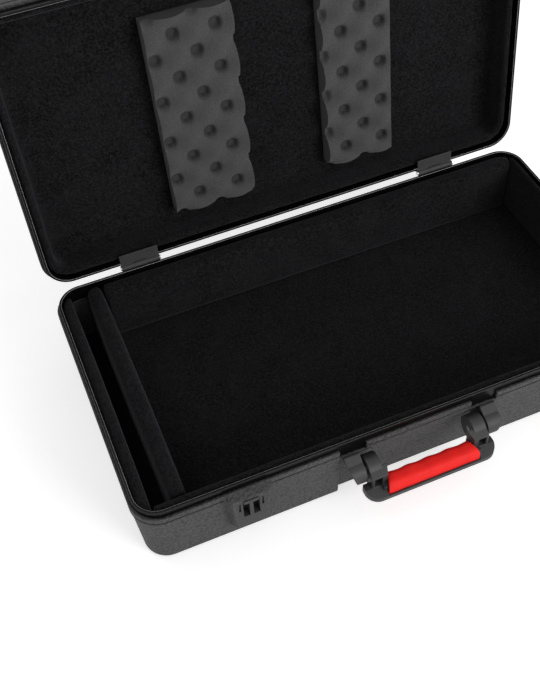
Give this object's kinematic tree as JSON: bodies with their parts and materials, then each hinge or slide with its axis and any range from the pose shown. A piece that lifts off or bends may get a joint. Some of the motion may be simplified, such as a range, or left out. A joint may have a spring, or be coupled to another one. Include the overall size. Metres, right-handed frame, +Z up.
{
  "type": "instrument pedal case",
  "caption": "Hard moulded carrying case for a floor effects unit: padded base, hinged lid, flap latches with key locks and a folding grip handle.",
  "frame": {"origin": "centre of the base's underside", "axes": "+X along the front, left to right seen from the handle side, +Y towards the hinges, +Z up"},
  "size_m": [0.668, 0.5142, 0.5245],
  "materials": {
    "shell_plastic": "dark grey moulded polyethylene with a fine pebble grain",
    "rim_black": "black satin rim extrusion",
    "plush_black": "black plush over foam",
    "wave_foam_grey": "mid-grey convoluted polyurethane foam",
    "hinge_black": "black powder-coated steel",
    "pin_steel": "bright steel",
    "rivet_black": "blackened rivets",
    "latch_plastic": "fine-grained glass-filled nylon",
    "lock_metal": "satin nickel lock face",
    "handle_plastic": "grained glass-filled nylon",
    "grip_red": "bright red soft-touch rubber"
  },
  "bodies": {
    "base": {"base_shell": "shell_plastic", "base_rim": "rim_black", "floor_pad": "plush_black", "left_pad": "plush_black", "right_pad": "plush_black", "front_pad": "plush_black", "back_pad": "plush_black", "cable_divider": "plush_black", "hinge_base_leaf_left": "hinge_black", "hinge_base_leaf_right": "hinge_black", "hinge_pin_left": "pin_steel", "hinge_pin_right": "pin_steel", "hinge_base_rivets": "rivet_black", "latch_keeper_left": "latch_plastic", "latch_keeper_right": "latch_plastic", "handle_boss_left": "handle_plastic", "handle_boss_right": "handle_plastic", "handle_pin_left": "pin_steel", "handle_pin_right": "pin_steel", "handle_screws": "pin_steel"},
    "lid": {"lid_shell": "shell_plastic", "lid_rim": "rim_black", "lid_lining": "plush_black", "wave_foam_1": "wave_foam_grey", "wave_foam_2": "wave_foam_grey", "hinge_lid_leaf_left": "hinge_black", "hinge_lid_leaf_right": "hinge_black", "hinge_lid_rivets": "rivet_black", "latch_plate_left": "latch_plastic", "latch_plate_right": "latch_plastic", "latch_pin_left": "pin_steel", "latch_pin_right": "pin_steel", "latch_rivets": "rivet_black"},
    "flap_left": {"latch_flap_left": "latch_plastic"},
    "flap_right": {"latch_flap_right": "latch_plastic"},
    "lock_left": {"lock_cylinder_left": "lock_metal"},
    "lock_right": {"lock_cylinder_right": "lock_metal"},
    "handle": {"handle_frame": "handle_plastic", "handle_grip": "grip_red"}
  },
  "joints": [
    {"name": "lid_hinge", "type": "hinge", "parent": "base", "child": "lid", "pos_m": [0, 0.1808, 0.107], "axis": [1, 0, 0], "range_deg": [0, 98]},
    {"name": "handle_swing", "type": "hinge", "parent": "base", "child": "handle", "pos_m": [0, -0.192, 0.066], "axis": [1, 0, 0], "range_deg": [-15, 75]},
    {"name": "flap_left_turn", "type": "hinge", "parent": "lid", "child": "flap_left", "pos_m": [-0.209, 0.24784, 0.47626], "axis": [1, 0, 0], "range_deg": [-35, 60]},
    {"name": "lock_left_turn", "type": "hinge", "parent": "lid", "child": "lock_left", "pos_m": [-0.209, 0.26495, 0.46861], "axis": [0, 0.1392, 0.9903], "range_deg": [0, 90]},
    {"name": "flap_right_turn", "type": "hinge", "parent": "lid", "child": "flap_right", "pos_m": [0.209, 0.24784, 0.47626], "axis": [1, 0, 0], "range_deg": [-35, 60]},
    {"name": "lock_right_turn", "type": "hinge", "parent": "lid", "child": "lock_right", "pos_m": [0.209, 0.26495, 0.46861], "axis": [0, 0.1392, 0.9903], "range_deg": [0, 90]}
  ]
}
